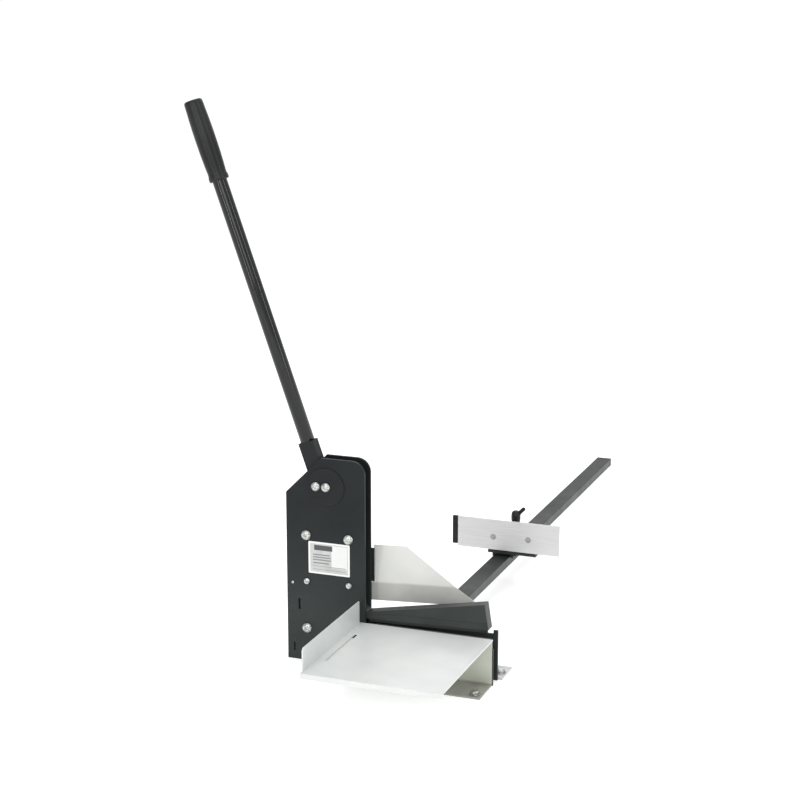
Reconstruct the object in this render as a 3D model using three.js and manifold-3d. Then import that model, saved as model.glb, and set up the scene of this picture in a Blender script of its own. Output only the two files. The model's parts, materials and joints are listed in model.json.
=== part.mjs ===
// A bench guillotine for floor tiles: two upright side plates carry a long hand lever, whose crank
// pushes a link bar down on a wedge-shaped blade arm. A table with a side fence stands in front,
// and a length stop slides on a rail behind.
//
// Millimetres, +Z up. X runs along the cut, +Y away from the operator. The origin is on the
// underside of the frame, in its middle plane, in line with the inner face of the table's fence.
import * as THREE from "three";
import { mergeVertices } from "three/addons/utils/BufferGeometryUtils.js";
import Module from "manifold-3d";

const wasm = await Module();
wasm.setup();

// ---- Driving dimensions ----

const CLEAR = 0.3; // gap between pieces that touch
const ROUND = 24; // sides of a round piece

// Frame: two steel plates with a gap between them
const PLATE = 4;
const GAP_HALF = 10;
const FRAME_HALF = GAP_HALF + PLATE;
const COLUMN_LEFT = -126;
const COLUMN_RIGHT = 8;
const COLUMN_TOP = 338;
const CHAMFER = 60;
const TOP_RADIUS = 22;
const LEG_END = 220;
const LEG_TOP = 76;
const HORN_TOP = 82; // raised end of the rear leg, beside the arm's free end
const HORN = 7;
const KNIFE_SEAT = 60; // top of the front plate's leg, under the lower knife
const BASE_BAR_TOP = 10;
const BASE_BAR_INSET = 9;

// Bolts that hold the side plates together, as X and Z
const FRAME_BOLTS = [
  [-92, 210],
  [-20, 210],
  [-92, 55],
  [-20, 55],
];
const BOLT_R = 5;
const BOLT_HEAD_R = 8.6;
const BOLT_HEAD_H = 4.6;
const SPACER_R = 8;
const HOLE_PLAY = 0.3;

// Lever
const PIVOT = [-57, 292];
const CRANK = [-74, 292];
const HUB_R = 26;
const HUB_HALF = 9.5;
const FORK_HALF = 4.6;
const FORK_RISE = 12;
const BEARING_R = 25;
const DISC_R = 31;
const DISC = 1.2;
const LEVER_FOOT = [-69.2, 292.4]; // the lever's axis passes here
const LEVER_TILT = THREE.MathUtils.degToRad(19.63);
const NECK_WIDTH = 26;
const NECK_END = 72;
const SPIGOT_R = 9.2; // stands on the neck, inside the tube
const SPIGOT_END = 100;
const TUBE_R = 11.5;
const TUBE_BORE_R = 9.8;
const TUBE_END = 616;
const GRIP_START = 500;
const GRIP_END = 630;

// Blade arm
const ARM_PIVOT = [-91.5, 133.5];
const ARM_PIN_R = 4.5;
const ARM_HALF = 9.5;
const LINK_PIN = [-22, 150];
const LINK_PIN_R = 5;
const LINK_SLACK = 1.6; // the link's lower eye is the pivot left open
const LINK_HALF = 4;
const LINK_EYE_R = 10;
const LINK_WIDTH = 14;
const ARM_SLOPE = Math.tan(THREE.MathUtils.degToRad(1.8));
const ARM_EDGE_START = [10, 82];
const ARM_END = 211;
const ARM_END_TOP = [204.5, 129];
const ARM_HEEL_TOP = [10, 93];
const KNIFE = 5;
const KNIFE_HEIGHT = 15;
const KNIFE_START = 13;
const KNIFE_END = 209;
const KNIFE_DROP = 4.8; // how far the edge stands below the arm
const KNIFE_SCREWS = [48, 170];

// Table and its bracket
const TABLE_TOP = 76;
const SHEET = 2;
const TABLE_FRONT = -247;
const TABLE_BACK = -FRAME_HALF - CLEAR;
const FLANGE_TOP = 112;
const FLANGE_FRONT = -239;
const FLANGE_BACK = -18;
const LIP = 8;
const SLOT_X = [11.5, 17];
const SLOT_Y = [-188, -64];
const BRACKET_DEPTH = 34;
const FOOT_FRONT = -74;
const FOOT_GAP = [62, 160];

// Rear guard, swung back a little from the cutting plane
const GUARD_SWING = THREE.MathUtils.degToRad(9.5);
const GUARD_BOTTOM = 104;
const GUARD_FOLD = 134;
const GUARD_LEAN = 12;
const GUARD_RISE = 58;

// Rail and stop
const RAIL_X = [74.5, 104.5];
const RAIL_Z = [42, 58];
const RAIL_Y = [20, 1166];
const RAIL_WALL = 1.5;
const STOP_Y = 435;
const FENCE_X = [8, 197];
const FENCE_Z = [70, 125.5];
const FENCE = 3;
const SLIDER_X = [64, 153];
const SLIDER_DEPTH = 36;
const SLIDER_PLATE = 5;
const SLIDER_TOP = 68;
const SADDLE_INSET = 8; // the block under the slider's plate starts behind its front edge
const CLAMP_AT = [109, STOP_Y + 25];

// ---- Materials ----

const material = (color, roughness, metalness) =>
  new THREE.MeshStandardMaterial({ color, roughness, metalness });

const blackPaint = material(0x1b1d1f, 0.5, 0.1);
const armPaint = material(0x3c403f, 0.55, 0.2);
const sheetMetal = material(0xd6d8d6, 0.4, 0.7);
const knifeSteel = material(0x8f9394, 0.3, 0.9);
const zincBolt = material(0xc9cbc8, 0.3, 0.9);
const tubeGloss = material(0x141516, 0.2, 0.3);
const gripPlastic = material(0x0e0f10, 0.45, 0);
const railPaint = material(0x4b4e4f, 0.45, 0.4);
const labelFilm = material(0xb9bcbc, 0.4, 0.3);
const darkSteel = material(0x55585a, 0.45, 0.8);

// ---- Solids ----

function solidOf(geometry) {
  const bare = new THREE.BufferGeometry();
  const source = geometry.index ? geometry.toNonIndexed() : geometry;
  bare.setAttribute("position", source.getAttribute("position"));
  const merged = mergeVertices(bare, 1e-4);
  return new wasm.Manifold(
    new wasm.Mesh({
      numProp: 3,
      vertProperties: merged.attributes.position.array,
      triVerts: new Uint32Array(merged.index.array),
    }),
  );
}

function geometryOf(solid) {
  const mesh = solid.getMesh();
  return new THREE.BufferGeometry()
    .setAttribute("position", new THREE.BufferAttribute(mesh.vertProperties, 3))
    .setIndex(new THREE.BufferAttribute(mesh.triVerts, 1));
}

const joined = (...parts) =>
  geometryOf(parts.map(solidOf).reduce((whole, part) => whole.add(part)));

const cut = (body, ...tools) =>
  geometryOf(tools.map(solidOf).reduce((left, tool) => left.subtract(tool), solidOf(body)));

// A box from its lowest to its highest corner.
function block([x0, x1], [y0, y1], [z0, z1]) {
  return new THREE.BoxGeometry(x1 - x0, y1 - y0, z1 - z0).translate(
    (x0 + x1) / 2,
    (y0 + y1) / 2,
    (z0 + z1) / 2,
  );
}

const extrusion = (shape, depth) =>
  new THREE.ExtrudeGeometry(shape, { depth, bevelEnabled: false, curveSegments: 14 });

// A shape drawn in X and Z, from y0 to y1.
const alongY = (shape, y0, y1) => extrusion(shape, y1 - y0).rotateX(Math.PI / 2).translate(0, y1, 0);

// A shape drawn in Y and Z, from x0 to x1.
function alongX(shape, x0, x1) {
  const basis = new THREE.Matrix4().makeBasis(
    new THREE.Vector3(0, 1, 0),
    new THREE.Vector3(0, 0, 1),
    new THREE.Vector3(1, 0, 0),
  );
  return extrusion(shape, x1 - x0).applyMatrix4(basis).translate(x0, 0, 0);
}

const outline = (...points) => new THREE.Shape(points.map(([u, v]) => new THREE.Vector2(u, v)));

const roundHole = ([x, z], radius) => new THREE.Path().absarc(x, z, radius, 0, 2 * Math.PI, true);

// A rod along Y at a point of the X-Z plane.
const rodY = ([x, z], radius, y0, y1, sides = ROUND) =>
  new THREE.CylinderGeometry(radius, radius, y1 - y0, sides).translate(x, (y0 + y1) / 2, z);

// A rod along Z at a point of the X-Y plane.
const rodZ = ([x, y], radius, z0, z1, sides = ROUND) =>
  new THREE.CylinderGeometry(radius, radius, z1 - z0, sides)
    .rotateX(Math.PI / 2)
    .translate(x, y, (z0 + z1) / 2);

// A turned body about Y, from points of radius and Y, lowest Y first.
const turned = (points, sides = ROUND) =>
  new THREE.LatheGeometry(points.map(([r, y]) => new THREE.Vector2(r, y)), sides);

// A through bolt along Y: domed head in front, hexagon nut behind.
function throughBolt(at, shankR, headR, headH, seat, far) {
  const dome = [
    [0, seat - headH],
    [headR * 0.5, seat - headH * 0.9],
    [headR * 0.85, seat - headH * 0.62],
    [headR, seat - headH * 0.25],
    [headR, seat],
    [shankR, seat],
    [shankR, far],
    [0, far],
  ];
  const body = turned(dome).translate(at[0], 0, at[1]);
  return joined(body, rodY(at, headR, far - 0.5, far + shankR * 1.1, 6));
}

const tileCutter = new THREE.Group();

function piece(name, geometry, look, parent = tileCutter) {
  const mesh = new THREE.Mesh(geometry, look);
  mesh.name = name;
  parent.add(mesh);
  return mesh;
}

// ---- Frame ----

function sidePlateShape(legTop, endTop) {
  const shape = new THREE.Shape();
  shape.moveTo(COLUMN_LEFT, 0);
  shape.lineTo(LEG_END, 0);
  shape.lineTo(LEG_END, endTop);
  if (endTop > legTop) {
    shape.lineTo(LEG_END - HORN, endTop);
    shape.lineTo(LEG_END - HORN, legTop);
  }
  shape.lineTo(COLUMN_RIGHT, legTop);
  shape.lineTo(COLUMN_RIGHT, COLUMN_TOP - TOP_RADIUS);
  shape.absarc(COLUMN_RIGHT - TOP_RADIUS, COLUMN_TOP - TOP_RADIUS, TOP_RADIUS, 0, Math.PI / 2);
  shape.lineTo(COLUMN_LEFT + CHAMFER, COLUMN_TOP);
  shape.lineTo(COLUMN_LEFT, COLUMN_TOP - CHAMFER);
  shape.holes.push(roundHole(PIVOT, BEARING_R));
  FRAME_BOLTS.forEach((at) => shape.holes.push(roundHole(at, BOLT_R + HOLE_PLAY)));
  shape.holes.push(roundHole(ARM_PIVOT, ARM_PIN_R + HOLE_PLAY));
  return shape;
}

// A narrow upright slot with square ends, as a hole.
const uprightSlot = (x, z0, z1, width) =>
  new THREE.Path([
    new THREE.Vector2(x - width / 2, z0),
    new THREE.Vector2(x - width / 2, z1),
    new THREE.Vector2(x + width / 2, z1),
    new THREE.Vector2(x + width / 2, z0),
  ]);

const FACE_SCREW = [-19.5, 134];
const FACE_SCREW_R = 3;
const EDGE_SCREW = [-116, 129];
const EDGE_SCREW_R = 1.5;

function buildFrame() {
  const front = sidePlateShape(KNIFE_SEAT, KNIFE_SEAT);
  front.holes.push(roundHole(FACE_SCREW, FACE_SCREW_R + HOLE_PLAY));
  front.holes.push(roundHole(EDGE_SCREW, EDGE_SCREW_R + HOLE_PLAY));
  front.holes.push(uprightSlot(-105, 85, 103, 3.4));
  front.holes.push(uprightSlot(-114, 14, 28, 3.4));
  piece("front_side_plate", alongY(front, -FRAME_HALF, -GAP_HALF), blackPaint);
  const rear = sidePlateShape(LEG_TOP, HORN_TOP);
  piece("rear_side_plate", alongY(rear, GAP_HALF, FRAME_HALF), blackPaint);

  const inside = GAP_HALF - CLEAR;
  const barX = [COLUMN_LEFT + BASE_BAR_INSET, LEG_END - BASE_BAR_INSET];
  piece("base_bar", block(barX, [-inside, inside], [0, BASE_BAR_TOP]), blackPaint);

  FRAME_BOLTS.forEach((at, i) => {
    const tube = cut(
      rodY(at, SPACER_R, -inside, inside),
      rodY(at, BOLT_R + HOLE_PLAY, -inside - 1, inside + 1),
    );
    piece("frame_spacer_" + (i + 1), tube, darkSteel);
    const seat = -FRAME_HALF - CLEAR;
    const bolt = throughBolt(at, BOLT_R, BOLT_HEAD_R, BOLT_HEAD_H, seat, FRAME_HALF + CLEAR + 0.5);
    piece("frame_bolt_" + (i + 1), bolt, zincBolt);
  });

  const smallHead = -FRAME_HALF - CLEAR;
  const pin = throughBolt(ARM_PIVOT, ARM_PIN_R, 5.6, 3, smallHead, FRAME_HALF + CLEAR + 0.5);
  piece("arm_pivot_pin", pin, zincBolt);
  piece("face_screw", shortScrew(FACE_SCREW, FACE_SCREW_R, 5.4, 3), zincBolt);
  piece("edge_screw", shortScrew(EDGE_SCREW, EDGE_SCREW_R, 2.6, 1.4), zincBolt);

  const label = block([-88, -17.5], [-FRAME_HALF - 0.8, -FRAME_HALF - CLEAR], [148.5, 201]);
  piece("rating_label", label, labelFilm);

  const knifeX = [COLUMN_RIGHT + 4, LEG_END - 2];
  const knife = block(knifeX, [-FRAME_HALF, -GAP_HALF], [KNIFE_SEAT + CLEAR, TABLE_TOP]);
  piece("lower_knife", knife, knifeSteel);
}

// A domed screw in the front plate that doesn't reach into the gap.
function shortScrew([x, z], shankR, headR, headH) {
  const seat = -FRAME_HALF - CLEAR;
  const profile = [
    [0, seat - headH],
    [headR * 0.6, seat - headH * 0.85],
    [headR, seat - headH * 0.3],
    [headR, seat],
    [shankR, seat],
    [shankR, -GAP_HALF - CLEAR],
    [0, -GAP_HALF - CLEAR],
  ];
  return turned(profile).translate(x, 0, z);
}

// ---- Lever ----

const leverGroup = new THREE.Group();
leverGroup.position.set(LEVER_FOOT[0], 0, LEVER_FOOT[1]);
leverGroup.rotation.y = -LEVER_TILT;
tileCutter.add(leverGroup);

function buildHub() {
  const turn = new THREE.Matrix4().makeRotationY(-LEVER_TILT);
  const neck = block([-NECK_WIDTH / 2, NECK_WIDTH / 2], [-HUB_HALF, HUB_HALF], [0, NECK_END])
    .applyMatrix4(turn)
    .translate(LEVER_FOOT[0], 0, LEVER_FOOT[1]);
  const spigot = rodZ([0, 0], SPIGOT_R, NECK_END - 10, SPIGOT_END)
    .applyMatrix4(turn)
    .translate(LEVER_FOOT[0], 0, LEVER_FOOT[1]);
  const fork = block(
    [PIVOT[0] - 50, PIVOT[0] + 40],
    [-FORK_HALF, FORK_HALF],
    [PIVOT[1] - 40, PIVOT[1] + FORK_RISE],
  );
  const body = joined(rodY(PIVOT, HUB_R, -HUB_HALF, HUB_HALF, 36), neck, spigot);
  const holes = [PIVOT, CRANK].map((at) => rodY(at, BOLT_R + HOLE_PLAY, -20, 20));
  piece("lever_hub", cut(body, fork, ...holes), blackPaint);
}

function buildHubDisc(name, side) {
  const inner = side * (GAP_HALF - CLEAR);
  const seat = side * (FRAME_HALF + CLEAR);
  const outer = seat + side * DISC;
  const boss = rodY(PIVOT, BEARING_R - HOLE_PLAY, Math.min(inner, outer), Math.max(inner, outer), 36);
  const disc = rodY(PIVOT, DISC_R, Math.min(seat, outer), Math.max(seat, outer), 36);
  const holes = [PIVOT, CRANK].map((at) => rodY(at, BOLT_R + HOLE_PLAY, -20, 20));
  piece(name, cut(joined(boss, disc), ...holes), blackPaint);
}

function buildLever() {
  buildHub();
  buildHubDisc("hub_disc_front", -1);
  buildHubDisc("hub_disc_rear", 1);
  const seat = -FRAME_HALF - DISC - 2 * CLEAR;
  const pivotBolt = throughBolt(PIVOT, BOLT_R, 8, BOLT_HEAD_H, seat, -seat + 0.5);
  const crankBolt = throughBolt(CRANK, BOLT_R, 8, BOLT_HEAD_H, seat, -seat + 0.5);
  piece("lever_pivot_bolt", pivotBolt, zincBolt);
  piece("crank_bolt", crankBolt, zincBolt);

  const tube = cut(
    rodZ([0, 0], TUBE_R, NECK_END + CLEAR, TUBE_END),
    rodZ([0, 0], TUBE_BORE_R, NECK_END, TUBE_END + 1),
  );
  piece("lever_tube", tube, tubeGloss, leverGroup);

  const bore = TUBE_R + CLEAR;
  const grip = [
    [0, TUBE_END + 2],
    [bore, TUBE_END + 2],
    [bore, GRIP_START],
    [15, GRIP_START],
    [15.6, GRIP_START + 6],
    [14.4, GRIP_START + 12],
    [15.8, GRIP_START + 45],
    [16.2, GRIP_START + 75],
    [15.2, GRIP_START + 105],
    [15, GRIP_START + 118],
    [14.8, GRIP_END - 3],
    [12.6, GRIP_END],
    [0, GRIP_END],
  ];
  piece("lever_grip", turned(grip).rotateX(Math.PI / 2), gripPlastic, leverGroup);
}

// ---- Link and blade arm ----

function buildLink() {
  const [dx, dz] = [LINK_PIN[0] - CRANK[0], LINK_PIN[1] - CRANK[1]];
  const length = Math.hypot(dx, dz);
  const bar = block([-LINK_WIDTH / 2, LINK_WIDTH / 2], [-LINK_HALF, LINK_HALF], [-length, 0])
    .rotateY(-Math.atan2(dx, -dz))
    .translate(CRANK[0], 0, CRANK[1]);
  const eyes = [CRANK, LINK_PIN].map((at) => rodY(at, LINK_EYE_R, -LINK_HALF, LINK_HALF));
  const link = cut(
    joined(bar, ...eyes),
    rodY(CRANK, BOLT_R + HOLE_PLAY, -9, 9),
    rodY(LINK_PIN, LINK_PIN_R + LINK_SLACK, -9, 9),
  );
  piece("link_bar", link, darkSteel);
}

// Height of the arm's lower edge.
const armEdge = (x) => ARM_EDGE_START[1] + (x - ARM_EDGE_START[0]) * ARM_SLOPE;

function knifeShape(grow) {
  const x0 = KNIFE_START - grow;
  const x1 = KNIFE_END + grow;
  const low = -KNIFE_DROP - grow;
  const high = KNIFE_HEIGHT - KNIFE_DROP + grow;
  return outline(
    [x0, armEdge(x0) + low],
    [x1, armEdge(x1) + low],
    [x1, armEdge(x1) + high],
    [x0 + 40, armEdge(x0 + 40) + high],
    [x0, armEdge(x0) + high - 4],
  );
}

function buildArm() {
  const shape = outline(
    [ARM_END, armEdge(ARM_END)],
    ARM_END_TOP,
    ARM_HEEL_TOP,
    [-6, 104],
    [-9, 156],
    [-16, 163],
    [-30, 163],
    [-92, 147],
    [-102, 142],
    [-105, 132],
    [-101, 123],
    [-60, 88],
    [-10, armEdge(-10)],
  );
  shape.holes.push(roundHole(ARM_PIVOT, ARM_PIN_R + HOLE_PLAY));
  shape.holes.push(roundHole(LINK_PIN, LINK_PIN_R + HOLE_PLAY));
  const fork = block([LINK_PIN[0] - 26, 5], [-FORK_HALF, FORK_HALF], [LINK_PIN[1] - 15, 175]);
  const seat = alongY(knifeShape(CLEAR), -ARM_HALF - 1, -ARM_HALF + KNIFE + CLEAR);
  const screws = KNIFE_SCREWS.map((x) => [x, armEdge(x) + 5.2]);
  const bores = screws.map((at) => rodY(at, 2.8, -ARM_HALF + 1.5, 20));
  const sinks = screws.map((at) => rodY(at, 4.8, ARM_HALF - 5, 20));
  const body = alongY(shape, -ARM_HALF, ARM_HALF);
  piece("blade_arm", cut(body, fork, seat, ...bores, ...sinks), armPaint);

  const knife = alongY(knifeShape(0), -ARM_HALF, -ARM_HALF + KNIFE);
  piece("upper_knife", cut(knife, ...bores), knifeSteel);
  screws.forEach((at, i) => {
    const shank = rodY(at, 2.5, -ARM_HALF + 1.8, ARM_HALF - 3);
    const head = rodY(at, 4.4, ARM_HALF - 4.6, ARM_HALF - 0.6);
    piece("knife_screw_" + (i + 1), joined(shank, head), zincBolt);
  });
  const pin = rodY(LINK_PIN, LINK_PIN_R, -ARM_HALF, ARM_HALF);
  piece("link_pin", pin, darkSteel);
}

// ---- Table ----

function buildTable() {
  const sheet = block([-SHEET, LEG_END], [TABLE_FRONT, TABLE_BACK], [TABLE_TOP - SHEET, TABLE_TOP]);
  const flangeSide = outline(
    [FLANGE_FRONT, TABLE_TOP - SHEET],
    [FLANGE_BACK, TABLE_TOP - SHEET],
    [FLANGE_BACK, FLANGE_TOP],
    [FLANGE_FRONT + 4, FLANGE_TOP],
    [FLANGE_FRONT, FLANGE_TOP - 4],
  );
  const flange = alongX(flangeSide, -SHEET, 0);
  const lip = block(
    [-SHEET, LEG_END],
    [TABLE_FRONT, TABLE_FRONT + SHEET],
    [TABLE_TOP - LIP, TABLE_TOP],
  );
  const slot = block(SLOT_X, SLOT_Y, [TABLE_TOP - 10, TABLE_TOP + 10]);
  piece("front_table", cut(joined(sheet, flange, lip), slot), sheetMetal);

  const under = TABLE_TOP - SHEET - CLEAR;
  const strip = [SLOT_Y[0] + 5, SLOT_Y[1] - 14];
  piece("slot_strip", block([SLOT_X[0] - 4, SLOT_X[1] + 4], strip, [under - SHEET, under]), sheetMetal);
  const back = -FRAME_HALF - CLEAR;
  const profile = outline(
    [back, 0],
    [back, under],
    [back - BRACKET_DEPTH, under],
    [back - BRACKET_DEPTH, under - SHEET],
    [back - SHEET, under - SHEET],
    [back - SHEET, SHEET + 0.5],
    [FOOT_FRONT, SHEET + 0.5],
    [FOOT_FRONT, 0],
  );
  const bent = alongX(profile, COLUMN_RIGHT, LEG_END - 1);
  const opening = block(FOOT_GAP, [FOOT_FRONT - 1, back - SHEET], [-1, SHEET + 1]);
  const bolts = [
    [40, 30],
    [120, 30],
  ];
  const bores = bolts.map((at) => rodY(at, 4.3, back - 9, back + 1));
  const feet = [
    [34, -60],
    [207, -61],
  ];
  const footBores = feet.map((at) => rodZ(at, 4.3, -1, 5));
  piece("table_bracket", cut(bent, opening, ...bores, ...footBores), sheetMetal);
  bolts.forEach((at, i) => {
    const head = rodY(at, 7.2, back - SHEET - CLEAR - 5, back - SHEET - CLEAR, 6);
    const shank = rodY(at, 4, back - SHEET - CLEAR - 1, back - 0.1);
    piece("bracket_bolt_" + (i + 1), joined(head, shank), zincBolt);
  });
  feet.forEach((at, i) => {
    piece("front_foot_screw_" + (i + 1), footScrew(at, SHEET + 0.5), zincBolt);
  });
}

// A bench screw whose washer and hexagon head stand on a foot flange.
function footScrew(at, flange) {
  const washer = rodZ(at, 8.5, flange + CLEAR, flange + CLEAR + 1.6);
  const head = rodZ(at, 7.2, flange + CLEAR + 1, flange + CLEAR + 7, 6);
  const shank = rodZ(at, 4, 0.2, flange + 1);
  return joined(washer, head, shank);
}

// ---- Rear feet ----

function buildRearFoot(name, [x0, x1], screwAt) {
  const face = FRAME_HALF + CLEAR;
  const thick = 3;
  const profile = outline(
    [face, 0],
    [face + 52, 0],
    [face + 52, thick],
    [face + thick, thick],
    [face + thick, 40],
    [face, 40],
  );
  const beyondLeg = block([LEG_END - 1, x1 + 1], [face - 1, face + thick], [thick, 41]);
  const angle = cut(alongX(profile, x0, x1), beyondLeg, rodZ(screwAt, 4.3, -1, 5));
  piece(name, angle, sheetMetal);
  piece(name + "_screw", footScrew(screwAt, thick), zincBolt);
}

// ---- Rear guard ----

function buildGuard() {
  const guard = new THREE.Group();
  guard.position.set(COLUMN_RIGHT, FRAME_HALF + 4, 0);
  guard.rotation.z = GUARD_SWING;
  tileCutter.add(guard);

  const side = outline(
    [0, GUARD_BOTTOM],
    [1.5, GUARD_BOTTOM],
    [1.5, GUARD_FOLD - 0.4],
    [GUARD_LEAN + 1.5, GUARD_FOLD + GUARD_RISE],
    [GUARD_LEAN, GUARD_FOLD + GUARD_RISE + 0.5],
    [0, GUARD_FOLD],
  );
  const slant = outline(
    [46, GUARD_FOLD + GUARD_RISE + 5],
    [300, GUARD_FOLD + GUARD_RISE + 5],
    [300, GUARD_BOTTOM - 5],
    [182, GUARD_BOTTOM - 5],
  );
  const inset = block([-10, 0], [-10, 60], [GUARD_FOLD, GUARD_FOLD + GUARD_RISE + 5]);
  const plate = cut(alongX(side, -4, 180), alongY(slant, -10, 60), inset);
  piece("rear_guard", plate, sheetMetal, guard);
}

// The black angle that holds the guard's end to the rear plate.
function buildGuardAngle() {
  const y0 = FRAME_HALF + CLEAR;
  const top = GUARD_FOLD + GUARD_RISE - 1;
  const onPlate = block([-16, 7], [y0, y0 + 2.5], [GUARD_BOTTOM + 2, top]);
  const tab = block([-4, 3.5], [-2.8, -CLEAR], [GUARD_FOLD + 2, top])
    .rotateZ(GUARD_SWING)
    .translate(COLUMN_RIGHT, FRAME_HALF + 4, 0);
  const screws = [120, 176].map((z) => [-7, z]);
  const bores = screws.map((at) => rodY(at, 2.8, y0 - 1, y0 + 4));
  piece("guard_angle", cut(joined(onPlate, tab), ...bores), blackPaint);
  screws.forEach((at, i) => {
    const head = rodY(at, 4.4, y0 + 2.8, y0 + 5.8);
    piece("guard_screw_" + (i + 1), joined(head, rodY(at, 2.4, y0 + 0.1, y0 + 3)), zincBolt);
  });
}

// ---- Rail ----

function buildRail() {
  const [x0, x1] = RAIL_X;
  const [z0, z1] = RAIL_Z;
  const [y0, y1] = RAIL_Y;
  const wall = RAIL_WALL;
  const bore = block([x0 + wall, x1 - wall], [y0 - 1, y1 + 1], [z0 + wall, z1 - wall]);
  piece("stop_rail", cut(block(RAIL_X, RAIL_Y, RAIL_Z), bore), railPaint);

  const plug = wall + CLEAR;
  const plate = block([x0, x1], [y1 + CLEAR, y1 + 3], [z0, z1]);
  const tongue = block([x0 + plug, x1 - plug], [y1 - 12, y1 + 1], [z0 + plug, z1 - plug]);
  piece("rail_end_cap", joined(plate, tongue), gripPlastic);

  const face = FRAME_HALF + CLEAR;
  const top = z0 - CLEAR;
  const profile = outline(
    [face, 14],
    [face + 3, 14],
    [face + 3, top - 3],
    [face + 80, top - 3],
    [face + 80, top],
    [face, top],
  );
  piece("rail_bracket", alongX(profile, x0 - 8, x1 + 8), darkSteel);
}

// ---- Length stop ----

function buildStop() {
  const z1 = RAIL_Z[1];
  const run = [STOP_Y + FENCE + CLEAR, STOP_Y + SLIDER_DEPTH];
  const cap = block(SLIDER_X, run, [SLIDER_TOP - SLIDER_PLATE, SLIDER_TOP]);
  const saddleRun = [run[0] + SADDLE_INSET, run[1]];
  const saddleX = [RAIL_X[0] - 4.4, RAIL_X[1] + 10];
  const saddle = block(saddleX, saddleRun, [z1 + 0.5, SLIDER_TOP - 1]);
  const cheeks = [
    [RAIL_X[0] - 4.4, RAIL_X[0] - 0.4],
    [RAIL_X[1] + 0.4, RAIL_X[1] + 4.4],
  ].map((x) => block(x, saddleRun, [z1 - 4, z1 + 1]));
  const screwBore = rodZ(CLAMP_AT, 3.3, z1 - 1, SLIDER_TOP + 1);
  piece("stop_slider", cut(joined(cap, saddle, ...cheeks), screwBore), blackPaint);

  const fenceScrews = [
    [74.5, 93.5],
    [139.5, 94.5],
  ];
  const bores = fenceScrews.map((at) => rodY(at, 2.8, STOP_Y - 1, STOP_Y + 12));
  const sinks = fenceScrews.map((at) => rodY(at, 5.3, STOP_Y - 1, STOP_Y + 2));
  const plate = block(FENCE_X, [STOP_Y, STOP_Y + FENCE], FENCE_Z);
  piece("stop_fence", cut(plate, ...bores, ...sinks), sheetMetal);
  const padX = [FENCE_X[0] - 10, FENCE_X[0] - CLEAR];
  const pad = block(padX, [STOP_Y, STOP_Y + FENCE + 2], [74, 125.5]);
  piece("fence_end_pad", pad, gripPlastic);

  const back = STOP_Y + FENCE + CLEAR;
  const low = SLIDER_TOP + CLEAR;
  const angle = outline(
    [back, low],
    [back + 18, low],
    [back + 18, low + 3],
    [back + 3, low + 3],
    [back + 3, 104],
    [back, 104],
  );
  const notch = rodZ(CLAMP_AT, 14, low - 1, 90);
  piece("stop_angle", cut(alongX(angle, 66, 150), ...bores, notch), blackPaint);
  fenceScrews.forEach((at, i) => {
    const head = rodY(at, 5, STOP_Y + 0.2, STOP_Y + 1.7);
    const shank = rodY(at, 2.5, STOP_Y + 1, back + 8);
    piece("fence_screw_" + (i + 1), joined(head, shank), zincBolt);
  });
}

function buildClampHandle() {
  const [x, y] = CLAMP_AT;
  piece("clamp_screw", rodZ(CLAMP_AT, 3, RAIL_Z[1] + 1, 122), zincBolt);
  const hub = turned(
    [
      [0, 124],
      [3 + CLEAR, 124],
      [3 + CLEAR, 118],
      [7, 118],
      [8, 121],
      [8.4, 130],
      [7, 137],
      [3.5, 139],
      [0, 139],
    ],
    20,
  ).rotateX(Math.PI / 2);
  const arm = new THREE.CylinderGeometry(3.2, 4.2, 18, 12)
    .rotateZ(-Math.PI / 2)
    .rotateY(-0.8)
    .translate(10, 0, 139);
  piece("clamp_handle", joined(hub, arm).translate(x, y, 0), gripPlastic);
}

buildFrame();
buildLever();
buildLink();
buildArm();
buildTable();
buildRearFoot("rear_foot_right", [176, 227], [217, 37]);
buildRearFoot("rear_foot_left", [-118, -62], [-90, 37]);
buildGuard();
buildGuardAngle();
buildRail();
buildStop();
buildClampHandle();

export default tileCutter;
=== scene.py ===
"""A bench guillotine for tiles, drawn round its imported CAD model.

The plates, sheets, bars and smallest screws are the CAD nodes themselves, with rounded edges. The
bolts, lever tube, grip, hub discs, stop handle and label are modelled here in place of theirs.
"""

import json
import math

import bmesh
import bpy
from mathutils import Matrix, Vector

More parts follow.
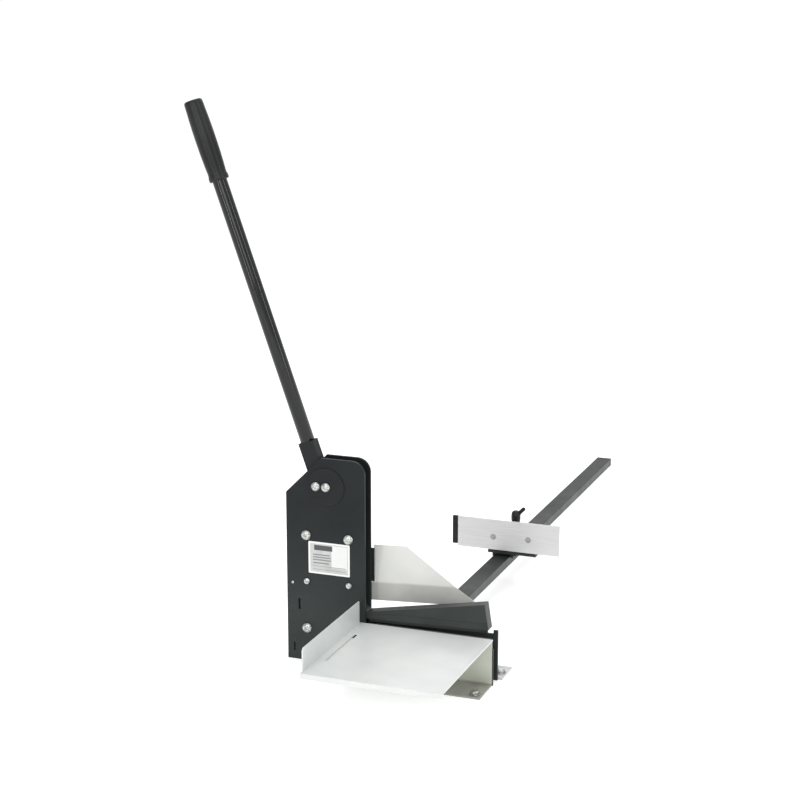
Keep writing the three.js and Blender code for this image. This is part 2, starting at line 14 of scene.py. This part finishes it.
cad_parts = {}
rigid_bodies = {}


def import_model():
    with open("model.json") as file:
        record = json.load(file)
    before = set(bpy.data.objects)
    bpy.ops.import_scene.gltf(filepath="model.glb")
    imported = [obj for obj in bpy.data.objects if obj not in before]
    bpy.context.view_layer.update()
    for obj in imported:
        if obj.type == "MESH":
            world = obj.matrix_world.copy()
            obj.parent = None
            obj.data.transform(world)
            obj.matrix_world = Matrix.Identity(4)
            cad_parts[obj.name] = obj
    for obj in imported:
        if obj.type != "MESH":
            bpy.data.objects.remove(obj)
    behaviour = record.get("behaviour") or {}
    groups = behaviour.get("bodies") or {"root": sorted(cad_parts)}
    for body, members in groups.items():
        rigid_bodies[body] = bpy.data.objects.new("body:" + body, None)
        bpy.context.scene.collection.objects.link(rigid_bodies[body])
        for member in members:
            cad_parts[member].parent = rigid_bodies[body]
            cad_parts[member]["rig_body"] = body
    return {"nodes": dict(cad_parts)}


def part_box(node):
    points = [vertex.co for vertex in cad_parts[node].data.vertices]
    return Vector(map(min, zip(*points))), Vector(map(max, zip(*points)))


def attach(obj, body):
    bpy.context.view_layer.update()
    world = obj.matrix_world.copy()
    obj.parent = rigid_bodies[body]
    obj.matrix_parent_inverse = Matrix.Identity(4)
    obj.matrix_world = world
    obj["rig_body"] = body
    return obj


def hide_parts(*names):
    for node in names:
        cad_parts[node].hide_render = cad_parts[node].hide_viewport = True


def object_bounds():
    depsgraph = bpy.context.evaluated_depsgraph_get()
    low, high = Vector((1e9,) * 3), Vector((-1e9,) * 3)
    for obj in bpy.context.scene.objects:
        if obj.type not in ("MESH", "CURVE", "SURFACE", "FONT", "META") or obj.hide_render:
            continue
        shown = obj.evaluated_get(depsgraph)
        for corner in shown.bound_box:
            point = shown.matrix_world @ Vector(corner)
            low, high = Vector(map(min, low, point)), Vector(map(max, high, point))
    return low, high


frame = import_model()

cad_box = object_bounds()

MM = 0.001
FULL_TURN = 2 * math.pi
Y_AXIS = Matrix.Rotation(-math.pi / 2, 4, "X")  # takes a body turned about Z to one turned about Y
GLTF_WELD = 1e-5  # metres; joins the corners that the loaded meshes split between flat faces


# ---- Camera ----

CAMERA_AT = (1.02513, -2.53665, 1.073)
CAMERA_AZIMUTH = math.radians(20.8)
CAMERA_PITCH = math.radians(13.15)
SENSOR = 36.0
FOCAL_LENGTH = 81.86
CLIP_END = 600.0  # metres, past the far edge of the floor


def add_camera():
    data = bpy.data.cameras.new("camera")
    data.sensor_width = SENSOR
    data.lens = FOCAL_LENGTH
    data.clip_end = CLIP_END
    camera = bpy.data.objects.new("camera", data)
    camera.location = CAMERA_AT
    camera.rotation_euler = (math.pi / 2 - CAMERA_PITCH, 0, CAMERA_AZIMUTH)
    bpy.context.scene.collection.objects.link(camera)
    bpy.context.scene.camera = camera


# ---- Light and floor ----

FLOOR_SIZE = 400.0
FLOOR_DROP = 0.0002  # keeps the floor from touching the feet
FLOOR_GLOW = 0.34  # keeps the paper white out to the horizon
WORLD_STRENGTH = 0.75

# Name, place, aim, width and height in metres, power in watts
STUDIO_LIGHTS = (
    ("overhead", (0.4, 0.2, 3.2), (0, 0.1, 0), (3.0, 3.0), 34),
    ("front_box", (1.3, -3.8, 2.1), (0, 0, 0.3), (2.0, 2.0), 38),
    ("left_strip", (-0.75, -2.9, 1.5), (-0.1, 0, 0.5), (0.2, 2.8), 20),
    ("right_strip", (2.6, -0.4, 1.4), (-0.1, 0, 0.5), (0.2, 2.8), 15),
    ("behind_box", (-0.6, 3.6, 2.2), (0, 0.3, 0.3), (2.4, 1.2), 16),
)


def add_area_light(name, at, aim, size, power):
    data = bpy.data.lights.new(name, "AREA")
    data.shape = "RECTANGLE"
    data.size = size[0]
    data.size_y = size[1]
    data.energy = power
    light = bpy.data.objects.new(name, data)
    light.location = at
    light.rotation_euler = (Vector(aim) - Vector(at)).to_track_quat("-Z", "Y").to_euler()
    bpy.context.scene.collection.objects.link(light)


def add_studio():
    scene = bpy.context.scene
    scene.view_settings.view_transform = "Standard"
    world = bpy.data.worlds.new("studio")
    world.use_nodes = True
    background = world.node_tree.nodes["Background"]
    background.inputs["Color"].default_value = (1, 1, 1, 1)
    background.inputs["Strength"].default_value = WORLD_STRENGTH
    scene.world = world

    for light in STUDIO_LIGHTS:
        add_area_light(*light)

    mesh = bpy.data.meshes.new("floor")
    half = FLOOR_SIZE / 2
    corners = [(-half, -half, 0), (half, -half, 0), (half, half, 0), (-half, half, 0)]
    mesh.from_pydata(corners, [], [(0, 1, 2, 3)])
    floor = bpy.data.objects.new("floor", mesh)
    floor.location.z = cad_box[0].z - FLOOR_DROP
    bpy.context.scene.collection.objects.link(floor)
    mesh.materials.append(floor_material())


# ---- Materials ----


class Recipe:
    """A new node material, with short calls for the nodes that the finishes share."""

    def __init__(self, name):
        self.material = bpy.data.materials.new(name)
        self.material.use_nodes = True
        self.tree = self.material.node_tree
        self.shader = self.tree.nodes["Principled BSDF"]
        self.place = self.tree.nodes.new("ShaderNodeTexCoord").outputs["Object"]

    def join(self, source, target):
        self.tree.links.new(source, target)

    def stretched(self, scale):
        mapping = self.tree.nodes.new("ShaderNodeMapping")
        mapping.inputs["Scale"].default_value = scale
        self.join(self.place, mapping.inputs["Vector"])
        return mapping.outputs["Vector"]

    def noise(self, scale, detail=4.0, stretch=(1, 1, 1)):
        node = self.tree.nodes.new("ShaderNodeTexNoise")
        node.inputs["Scale"].default_value = scale
        node.inputs["Detail"].default_value = detail
        self.join(self.stretched(stretch), node.inputs["Vector"])
        return node.outputs["Fac"]

    def ramp(self, factor, low, high, start=0.35, end=0.65):
        node = self.tree.nodes.new("ShaderNodeValToRGB")
        first, last = node.color_ramp.elements
        first.position, last.position = start, end
        first.color, last.color = (*low, 1), (*high, 1)
        self.join(factor, node.inputs["Fac"])
        return node.outputs["Color"]

    def spread(self, factor, low, high):
        node = self.tree.nodes.new("ShaderNodeMapRange")
        node.inputs["From Min"].default_value = 0.3
        node.inputs["From Max"].default_value = 0.7
        node.inputs["To Min"].default_value = low
        node.inputs["To Max"].default_value = high
        self.join(factor, node.inputs["Value"])
        return node.outputs["Result"]

    def math(self, operation, a, b, c=None):
        node = self.tree.nodes.new("ShaderNodeMath")
        node.operation = operation
        for socket, value in zip(node.inputs, (a, b, c)):
            if value is None:
                continue
            if isinstance(value, (int, float)):
                socket.default_value = value
            else:
                self.join(value, socket)
        return node.outputs["Value"]

    def mix(self, factor, low, high):
        node = self.tree.nodes.new("ShaderNodeMix")
        node.data_type = "RGBA"
        self.join(factor, node.inputs["Factor"])
        for name, value in (("A", low), ("B", high)):
            socket = next(s for s in node.inputs if s.name == name and s.type == "RGBA")
            if isinstance(value, tuple):
                socket.default_value = (*value, 1)
            else:
                self.join(value, socket)
        return next(s for s in node.outputs if s.type == "RGBA")

    def bump(self, height, strength, distance):
        node = self.tree.nodes.new("ShaderNodeBump")
        node.inputs["Strength"].default_value = strength
        node.inputs["Distance"].default_value = distance
        self.join(height, node.inputs["Height"])
        self.join(node.outputs["Normal"], self.shader.inputs["Normal"])

    def set(self, **values):
        for name, value in values.items():
            self.shader.inputs[name.replace("_", " ")].default_value = value


def powder_coat(name, low, high, roughness=(0.36, 0.48), grain=900, bump=0.12, gloss=0.5):
    """Baked paint: a fine orange peel, cloudy tone and small changes of gloss."""
    r = Recipe(name)
    cloud = r.noise(9, 3)
    peel = r.noise(grain, 2)
    tone = r.ramp(cloud, low, high, 0.3, 0.7)
    r.join(tone, r.shader.inputs["Base Color"])
    r.join(r.spread(r.noise(30, 4), *roughness), r.shader.inputs["Roughness"])
    r.set(Specular_IOR_Level=gloss)
    r.bump(peel, bump, 0.0002)
    return r.material


def brushed_metal(name, low, high, roughness, along, metallic=1.0, bump=0.05):
    """Metal with fine lines along one axis and a cloudy roughness."""
    r = Recipe(name)
    lines = r.noise(26, 4, along)
    r.join(r.ramp(lines, low, high), r.shader.inputs["Base Color"])
    r.join(r.spread(r.noise(40, 3), *roughness), r.shader.inputs["Roughness"])
    r.set(Metallic=metallic)
    r.bump(lines, bump, 0.0001)
    return r.material


def moulded_plastic(name, low, high):
    """Injection-moulded plastic with a spark-eroded grain."""
    r = Recipe(name)
    grain = r.noise(700, 3)
    r.join(r.ramp(r.noise(14, 3), low, high), r.shader.inputs["Base Color"])
    r.join(r.spread(grain, 0.3, 0.42), r.shader.inputs["Roughness"])
    r.set(Specular_IOR_Level=0.25)
    r.bump(grain, 0.12, 0.0003)
    return r.material


def gloss_enamel(name, low, high):
    """Glossy black enamel on a drawn tube, with faint draw lines in its tone."""
    r = Recipe(name)
    lines = r.noise(18, 3, (20, 20, 0.6))
    r.join(r.ramp(lines, low, high), r.shader.inputs["Base Color"])
    r.join(r.spread(r.noise(35, 3), 0.1, 0.16), r.shader.inputs["Roughness"])
    r.set(Specular_IOR_Level=0.4)
    return r.material


def two_tone_and_shade_coat(
    name, upper, lower, height, blur, slope=0.0, roughness=(0.32, 0.45), bump=0.06, gloss=0.5
):
    """Paint that changes tone at a height, or along a line that rises with X by slope. On the
    knife the change is two-tone paint; on the plates, guard, bracket and rail it is painted light
    and shade.
    """
    r = Recipe(name)
    axes = r.tree.nodes.new("ShaderNodeSeparateXYZ")
    r.join(r.place, axes.inputs["Vector"])
    line = r.math("MULTIPLY_ADD", axes.outputs["X"], slope, height)
    above = r.math("SUBTRACT", axes.outputs["Z"], line)
    wobble = r.math("MULTIPLY_ADD", r.noise(25, 3), blur, -blur / 2)
    share = r.math("MULTIPLY_ADD", r.math("ADD", above, wobble), 0.5 / blur, 0.5)
    share.node.use_clamp = True
    cloud = r.noise(12, 3)
    colour = r.mix(share, r.ramp(cloud, *lower), r.ramp(cloud, *upper))
    r.join(colour, r.shader.inputs["Base Color"])
    r.join(r.spread(r.noise(30, 4), *roughness), r.shader.inputs["Roughness"])
    r.set(Specular_IOR_Level=gloss)
    r.bump(r.noise(700, 2), bump, 0.0002)
    return r.material


def floor_material():
    r = Recipe("floor_paper")
    paper = r.ramp(r.noise(2, 2), (0.9, 0.9, 0.9), (0.93, 0.93, 0.93))
    r.join(paper, r.shader.inputs["Base Color"])
    r.set(Roughness=0.9, Specular_IOR_Level=0.0)
    r.set(Emission_Color=(1, 1, 1, 1), Emission_Strength=FLOOR_GLOW)
    return r.material


def label_material(low, high):
    """Silver film with a printed border, one dark bar and grey ruled lines; no lettering."""
    r = Recipe("label_print")
    axes = r.tree.nodes.new("ShaderNodeSeparateXYZ")
    r.join(r.place, axes.inputs["Vector"])
    width = high.x - low.x
    height = high.z - low.z

    def box_mask(x0, x1, z0, z1):
        centre_x = low.x + width * (x0 + x1) / 2
        centre_z = low.z + height * (z0 + z1) / 2
        across = r.math("COMPARE", axes.outputs["X"], centre_x, width * (x1 - x0) / 2)
        up = r.math("COMPARE", axes.outputs["Z"], centre_z, height * (z1 - z0) / 2)
        return r.math("MULTIPLY", across, up)

    film = r.ramp(r.noise(60, 3), (0.42, 0.43, 0.42), (0.5, 0.51, 0.5))
    inside = box_mask(0.045, 0.955, 0.055, 0.945)
    colour = r.mix(inside, (0.72, 0.73, 0.72), film)
    colour = r.mix(box_mask(0.56, 0.94, 0.22, 0.92), colour, (0.68, 0.68, 0.67))
    colour = r.mix(box_mask(0.14, 0.58, 0.74, 0.9), colour, (0.06, 0.063, 0.067))
    for x1, z in ((0.52, 0.6), (0.55, 0.52), (0.55, 0.44), (0.5, 0.34)):
        colour = r.mix(box_mask(0.11, x1, z - 0.022, z + 0.022), colour, (0.22, 0.23, 0.23))
    for z in (0.24, 0.14):
        colour = r.mix(box_mask(0.1, 0.9, z - 0.012, z + 0.012), colour, (0.3, 0.31, 0.3))
    r.join(colour, r.shader.inputs["Base Color"])
    r.join(r.spread(r.noise(50, 3), 0.32, 0.42), r.shader.inputs["Roughness"])
    r.set(Metallic=0.15)
    return r.material


KNIFE_TILT = math.radians(1.8)  # the blade arm's lower edge rises towards its free end
KNIFE_ON_ARM = 10.2 * MM  # how far the knife reaches up the arm's side
GUARD_BAND = 30 * MM  # height of the upright band below the guard's fold


def arm_edge_line():
    """Height at X = 0 and slope of the line where the blade arm's lower edge meets its knife."""
    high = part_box("upper_knife")[1]
    slope = math.tan(KNIFE_TILT)
    return high.z - KNIFE_ON_ARM - high.x * slope, slope


ARM_LINE, ARM_SLOPE = arm_edge_line()
GUARD_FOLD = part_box("rear_guard")[0].z + GUARD_BAND
RAIL_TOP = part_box("stop_rail")[1].z
ARM_TONES = ((0.02, 0.025, 0.024), (0.034, 0.041, 0.039))

# Painted light gradient on the black plates: darker towards the top, lighter and greener lower
# down, standing in for how the light falls on one black paint.
PAINT = two_tone_and_shade_coat(
    "black_coat_painted_light_gradient",
    upper=((0.01, 0.0125, 0.0135), (0.0145, 0.017, 0.018)),
    lower=((0.026, 0.031, 0.03), (0.034, 0.039, 0.038)),
    height=0.17,
    blur=0.09,
    roughness=(0.38, 0.5),
    bump=0.12,
    gloss=0.14,
)
HUB_PAINT = powder_coat("hub_black_paint", (0.01, 0.011, 0.012), (0.016, 0.018, 0.019), gloss=0.15)
ARM_PAINT = powder_coat("arm_grey_paint", *ARM_TONES, gloss=0.35)
KNIFE = two_tone_and_shade_coat(
    "knife_steel",
    upper=ARM_TONES,
    lower=((0.006, 0.0065, 0.007), (0.012, 0.0125, 0.013)),
    height=ARM_LINE,
    blur=0.0008,
    slope=ARM_SLOPE,
    roughness=(0.3, 0.4),
    bump=0.04,
    gloss=0.35,
)
LOWER_KNIFE = brushed_metal(
    "lower_knife_steel",
    (0.03, 0.031, 0.033),
    (0.06, 0.062, 0.065),
    roughness=(0.3, 0.45),
    along=(1, 80, 80),
    metallic=0.6,
)
SHEET = powder_coat(
    "light_grey_coat",
    (0.53, 0.56, 0.55),
    (0.66, 0.67, 0.66),
    roughness=(0.3, 0.42),
    grain=600,
    bump=0.06,
)
GALVANISED = powder_coat(
    "galvanised",
    (0.5, 0.5, 0.49),
    (0.62, 0.62, 0.6),
    roughness=(0.35, 0.5),
    grain=400,
    bump=0.08,
)
# Painted shade: the guard's band below the fold is painted darker, in place of the shadow that the
# arm and column cast on it.
GUARD = two_tone_and_shade_coat(
    "guard_coat_painted_shade",
    upper=((0.59, 0.6, 0.57), (0.66, 0.66, 0.63)),
    lower=((0.38, 0.38, 0.36), (0.52, 0.52, 0.5)),
    height=GUARD_FOLD,
    blur=0.002,
)
# Painted shade: the bracket's foot flange, below 4 mm, is painted darker in place of the shadow
# under the table.
BRACKET = two_tone_and_shade_coat(
    "bracket_coat_painted_shade",
    upper=((0.42, 0.44, 0.37), (0.52, 0.535, 0.465)),
    lower=((0.22, 0.215, 0.19), (0.3, 0.295, 0.265)),
    height=0.004,
    blur=0.002,
)
FENCE = brushed_metal(
    "fence_aluminium",
    (0.61, 0.61, 0.61),
    (0.68, 0.68, 0.68),
    roughness=(0.4, 0.52),
    along=(1, 50, 50),
    metallic=0.4,
    bump=0.03,
)
BOLT = brushed_metal(
    "zinc_plate",
    (0.3, 0.31, 0.3),
    (0.56, 0.57, 0.55),
    roughness=(0.2, 0.34),
    along=(8, 8, 8),
)
DARK_BOLT = brushed_metal(
    "dark_zinc",
    (0.3, 0.3, 0.3),
    (0.42, 0.42, 0.42),
    roughness=(0.45, 0.6),
    along=(8, 8, 8),
    metallic=0.5,
)
TUBE = gloss_enamel("gloss_black_enamel", (0.004, 0.0045, 0.005), (0.008, 0.0085, 0.009))
GRIP = moulded_plastic("black_grip", (0.007, 0.0075, 0.008), (0.015, 0.0155, 0.016))
# Painted light and shade on one grey coat: the rail's top face is painted darker and its sides
# lighter.
RAIL = two_tone_and_shade_coat(
    "rail_coat_painted_light",
    upper=((0.018, 0.02, 0.02), (0.028, 0.03, 0.03)),
    lower=((0.04, 0.043, 0.043), (0.058, 0.061, 0.061)),
    height=RAIL_TOP - 0.0008,
    blur=0.0006,
    roughness=(0.4, 0.5),
    bump=0.08,
    gloss=0.25,
)
STEEL = powder_coat("dark_steel_coat", (0.05, 0.054, 0.054), (0.08, 0.085, 0.085))


def paint(piece, material):
    piece.data.materials.clear()
    piece.data.materials.append(material)
    return piece


# ---- CAD nodes that stay ----

# Node, finish, and width of the edge round in millimetres
KEPT_NODES = (
    ("front_side_plate", PAINT, 0.5),
    ("rear_side_plate", PAINT, 0.5),
    ("base_bar", PAINT, 0.5),
    ("lever_hub", HUB_PAINT, 0.8),
    ("guard_angle", HUB_PAINT, 0.3),
    ("blade_arm", ARM_PAINT, 0.8),
    ("upper_knife", KNIFE, 0.3),
    ("lower_knife", LOWER_KNIFE, 0.3),
    ("front_table", SHEET, 0.5),
    ("table_bracket", BRACKET, 0.4),
    ("rear_guard", GUARD, 0.3),
    ("slot_strip", SHEET, 0.3),
    ("stop_rail", RAIL, 0.8),
    ("rail_end_cap", GRIP, 0.5),
    ("stop_fence", FENCE, 0.4),
    ("fence_end_pad", GRIP, 0.6),
    ("stop_slider", PAINT, 0.6),
    ("stop_angle", PAINT, 0.4),
    ("link_bar", STEEL, 0.5),
    ("link_pin", STEEL, 0.5),
    ("rail_bracket", STEEL, 0.5),
    ("rear_foot_right", GALVANISED, 0.5),
    ("rear_foot_left", GALVANISED, 0.5),
    ("fence_screw_1", DARK_BOLT, 0.2),
    ("fence_screw_2", DARK_BOLT, 0.2),
)


def soften(name, material, width):
    """Keeps a CAD node, with a finish and a round on its edges, whose width is in millimetres."""
    node = frame["nodes"][name]
    mesh = node.data
    if "custom_normal" in mesh.attributes:
        mesh.attributes.remove(mesh.attributes["custom_normal"])
    mesh.shade_smooth()
    weld = node.modifiers.new("weld", "WELD")
    weld.merge_threshold = GLTF_WELD
    bevel = node.modifiers.new("edge_round", "BEVEL")
    bevel.width = width * MM
    bevel.segments = 2
    bevel.limit_method = "ANGLE"
    bevel.angle_limit = math.radians(35)
    node.modifiers.new("flat_faces", "WEIGHTED_NORMAL").keep_sharp = False
    paint(node, material)


# ---- New pieces ----


def finish_mesh(name, bm, material, node, smooth_angle=40):
    """Turns a bmesh in the part's frame into a piece that stands for a CAD node."""
    bmesh.ops.recalc_face_normals(bm, faces=bm.faces)
    mesh = bpy.data.meshes.new(name)
    bm.to_mesh(mesh)
    bm.free()
    mesh.shade_smooth()
    mesh.set_sharp_from_angle(angle=math.radians(smooth_angle))
    piece = bpy.data.objects.new(name, mesh)
    bpy.context.scene.collection.objects.link(piece)
    paint(piece, material)
    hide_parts(node)
    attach(piece, frame["nodes"][node]["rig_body"])
    return piece


def centre_of(node):
    low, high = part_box(node)
    return (low + high) / 2


def hexagon(apothem):
    """Radius of a hexagon as a function of the angle."""
    sixth = FULL_TURN / 6
    return lambda angle: apothem / math.cos((angle + sixth / 2) % sixth - sixth / 2)


def turn(bm, stations, place, segments=48):
    """Skins rings about Z. A station is (radius, height); the radius may be a function of the
    angle, and a radius of 0 closes the end with a point."""
    rings = []
    for radius, height in stations:
        if radius == 0:
            rings.append([bm.verts.new(place @ Vector((0, 0, height)))])
            continue
        ring = []
        for i in range(segments):
            angle = FULL_TURN * i / segments
            r = radius(angle) if callable(radius) else radius
            point = Vector((r * math.cos(angle), r * math.sin(angle), height))
            ring.append(bm.verts.new(place @ point))
        rings.append(ring)
    for lower, upper in zip(rings, rings[1:]):
        for i in range(segments):
            j = (i + 1) % segments
            if len(lower) == 1:
                bm.faces.new((lower[0], upper[j], upper[i]))
            elif len(upper) == 1:
                bm.faces.new((lower[i], lower[j], upper[0]))
            else:
                bm.faces.new((lower[i], lower[j], upper[j], upper[i]))


def turned_piece(name, stations, place, material, node, segments=48):
    bm = bmesh.new()
    turn(bm, stations, place, segments)
    return finish_mesh(name, bm, material, node)


def along_y(x, z):
    """Places a body turned about Z so that its axis lies along Y, through (x, z)."""
    return Matrix.Translation((x, 0, z)) @ Y_AXIS


def domed_head(seat, radius, height):
    """Stations of a button head below seat, from the middle of its hexagon socket outwards."""
    face = seat - height
    socket = hexagon(radius * 0.3)
    return [
        (0, face + height * 0.62),
        (socket, face + height * 0.55),
        (socket, face + height * 0.04),
        (radius * 0.4, face),
        (radius * 0.58, face + height * 0.07),
        (radius * 0.76, face + height * 0.24),
        (radius * 0.9, face + height * 0.5),
        (radius * 0.975, face + height * 0.78),
        (radius, seat - height * 0.06),
        (radius * 0.985, seat),
    ]


def through_bolt(node, head_radius, head_height, shank_radius):
    """A domed bolt in front with its nut and washer behind."""
    low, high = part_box(node)
    at = centre_of(node)
    head_r, head_h, shank = head_radius * MM, head_height * MM, shank_radius * MM
    seat = low.y + head_h
    nut_start = high.y - shank * 1.1 - 0.5 * MM
    nut = hexagon(head_r * 0.83)
    stations = domed_head(seat, head_r, head_h) + [
        (shank, seat),
        (shank, nut_start),
        (head_r, nut_start),
        (head_r, nut_start + 1 * MM),
        (nut, nut_start + 1 * MM),
        (nut, high.y - 0.6 * MM),
        (head_r * 0.76, high.y - 0.2 * MM),
        (shank * 0.9, high.y - 0.2 * MM),
        (shank * 0.8, high.y),
        (0, high.y),
    ]
    turned_piece(node + "_detailed", stations, along_y(at.x, at.z), BOLT, node)


def short_screw(node, head_radius, head_height, shank_radius):
    """A domed screw whose shank ends inside the front plate."""
    low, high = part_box(node)
    at = centre_of(node)
    head_r, head_h, shank = head_radius * MM, head_height * MM, shank_radius * MM
    stations = domed_head(low.y + head_h, head_r, head_h) + [
        (shank, low.y + head_h),
        (shank, high.y),
        (0, high.y),
    ]
    turned_piece(node + "_detailed", stations, along_y(at.x, at.z), BOLT, node)


def foot_screw(node):
    """A hexagon screw on its washer, upright."""
    low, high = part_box(node)
    at = centre_of(node)
    washer_r = (high.x - low.x) / 2
    bottom = high.z - 7 * MM
    head = hexagon(6.2 * MM)
    stations = [
        (0, low.z),
        (4 * MM, low.z),
        (4 * MM, bottom),
        (washer_r - 0.3 * MM, bottom),
        (washer_r, bottom + 0.4 * MM),
        (washer_r, bottom + 1.2 * MM),
        (washer_r - 0.4 * MM, bottom + 1.6 * MM),
        (head, bottom + 1.6 * MM),
        (head, high.z - 0.8 * MM),
        (5.6 * MM, high.z - 0.2 * MM),
        (3.4 * MM, high.z),
        (0, high.z - 0.1 * MM),
    ]
    turned_piece(node + "_detailed", stations, Matrix.Translation((at.x, at.y, 0)), BOLT, node)


# ---- Lever ----

TUBE_WALL = 1.7 * MM
GRIP_PLAY = 0.35 * MM
DISC_THICKNESS = 1.2 * MM
BOSS_RADIUS = 24.6 * MM


def lever_place():
    """The lever tube's frame, with its origin at the lower end and +Z along the tube; then the
    tube's radius and length. The tilt follows from the tube's box."""
    low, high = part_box("lever_tube")
    radius = (high.y - low.y) / 2
    tilt = 0.0
    for _ in range(30):
        run = (high.x - low.x) - 2 * radius * math.cos(tilt)
        rise = (high.z - low.z) - 2 * radius * math.sin(tilt)
        tilt = math.atan2(run, rise)
    foot = (high.x - radius * math.cos(tilt), 0, low.z + radius * math.sin(tilt))
    place = Matrix.Translation(foot) @ Matrix.Rotation(-tilt, 4, "Y")
    return place, radius, math.hypot(run, rise)


def build_lever():
    place, radius, length = lever_place()
    bore = radius - TUBE_WALL
    tube = [
        (bore, 0.2 * MM),
        (radius - 0.5 * MM, 0),
        (radius, 0.6 * MM),
        (radius, length * 0.5),
        (radius, length - 0.5 * MM),
        (bore, length),
        (bore, 0.2 * MM),
    ]
    turned_piece("lever_tube_detailed", tube, place, TUBE, "lever_tube", 64)

    to_tube = place.inverted()
    heights = [(to_tube @ vert.co).z for vert in frame["nodes"]["lever_grip"].data.vertices]
    start = min(heights)
    grip_length = (max(heights) - start) / MM - 1.0
    inner = radius + GRIP_PLAY
    profile = [
        (inner, 0.4),
        (14.2, 0),
        (15.4, 0.8),
        (15.8, 3),
        (15.7, 6),
        (14.7, 10),
        (14.6, 14),
        (15.3, 26),
        (15.9, 46),
        (16.1, 66),
        (16.0, 84),
        (15.6, 100),
        (15.1, 112),
        (14.9, 120),
        (14.6, grip_length - 3.2),
        (13.8, grip_length - 1.2),
        (12.2, grip_length - 0.2),
        (8.0, grip_length),
        (0, grip_length),
    ]
    stations = [(r if r == inner or r == 0 else r * MM, start + h * MM) for r, h in profile]
    closed = [(0, length + 0.8 * MM), (inner, length + 0.8 * MM)] + stations
    turned_piece("lever_grip_detailed", closed, place, GRIP, "lever_grip", 64)


def hub_disc(node, side):
    """The flanged bearing disc that turns with the lever; side is -1 in front, 1 behind."""
    low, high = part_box(node)
    at = centre_of(node)
    flange = (high.x - low.x) / 2
    outer = high.y if side > 0 else low.y
    inner = low.y if side > 0 else high.y
    step = outer - side * DISC_THICKNESS
    stations = [
        (0, inner),
        (BOSS_RADIUS, inner),
        (BOSS_RADIUS, step),
        (flange, step),
        (flange, outer - side * 0.5 * MM),
        (flange - 0.5 * MM, outer),
        (10 * MM, outer),
        (0, outer),
    ]
    turned_piece(node + "_detailed", stations, along_y(at.x, at.z), HUB_PAINT, node, 64)


# ---- Stop handle ----


def build_clamp():
    """The stop's clamp screw, and its knob with a slanting lever."""
    low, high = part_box("clamp_screw")
    at = centre_of("clamp_screw")
    upright = Matrix.Translation((at.x, at.y, 0))
    screw = [
        (0, low.z),
        (2.4 * MM, low.z),
        (3 * MM, low.z + 0.8 * MM),
        (3 * MM, high.z - 0.4 * MM),
        (2.6 * MM, high.z),
        (0, high.z),
    ]
    turned_piece("clamp_screw_detailed", screw, upright, BOLT, "clamp_screw", 36)

    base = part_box("clamp_handle")[0].z
    bm = bmesh.new()
    hub = [
        (0, base + 6 * MM),
        (3.3 * MM, base + 6 * MM),
        (3.3 * MM, base),
        (6.6 * MM, base),
        (7.6 * MM, base + 1.2 * MM),
        (8.3 * MM, base + 6 * MM),
        (8.3 * MM, base + 13 * MM),
        (7.4 * MM, base + 18 * MM),
        (4.6 * MM, base + 20.6 * MM),
        (0, base + 21 * MM),
    ]
    turn(bm, hub, upright)
    arm_place = upright @ Matrix.Translation((3.7 * MM, 0, base + 14.5 * MM))
    arm_place = arm_place @ Matrix.Rotation(math.radians(44), 4, "Y")
    arm = [
        (0, 0),
        (4.2 * MM, 0),
        (3.6 * MM, 6 * MM),
        (3.4 * MM, 11 * MM),
        (3.5 * MM, 15 * MM),
        (2.8 * MM, 17.2 * MM),
        (1.4 * MM, 17.9 * MM),
        (0, 18 * MM),
    ]
    turn(bm, arm, arm_place, 32)
    finish_mesh("clamp_handle_detailed", bm, GRIP, "clamp_handle")


# ---- Label ----


def build_label():
    """The rating label, with round corners."""
    low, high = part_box("rating_label")
    bm = bmesh.new()
    bmesh.ops.create_cube(bm, size=1)
    size = high - low
    centre = centre_of("rating_label")
    for vert in bm.verts:
        vert.co = vert.co * size + centre
    along = [e for e in bm.edges if abs(e.verts[0].co.y - e.verts[1].co.y) > size.y / 2]
    bmesh.ops.bevel(bm, geom=along, offset=1.6 * MM, segments=5, affect="EDGES", profile=0.5)
    finish_mesh("rating_label_detailed", bm, label_material(low, high), "rating_label", 30)


add_camera()
add_studio()

for name, material, width in KEPT_NODES:
    soften(name, material, width)
for name in ("bracket_bolt", "guard_screw", "knife_screw"):
    for i in (1, 2):
        soften("%s_%d" % (name, i), BOLT, 0.3)
for i in range(1, 5):
    soften("frame_spacer_%d" % i, STEEL, 0.3)
    through_bolt("frame_bolt_%d" % i, 8.6, 4.6, 5)
for name in ("lever_pivot_bolt", "crank_bolt"):
    through_bolt(name, 8, 4.6, 5)
through_bolt("arm_pivot_pin", 5.6, 3, 4.5)
short_screw("face_screw", 5.4, 3, 3)
short_screw("edge_screw", 2.6, 1.4, 1.5)
for i in (1, 2):
    foot_screw("front_foot_screw_%d" % i)
for side in ("right", "left"):
    foot_screw("rear_foot_%s_screw" % side)
build_lever()
hub_disc("hub_disc_front", -1)
hub_disc("hub_disc_rear", 1)
build_clamp()
build_label()
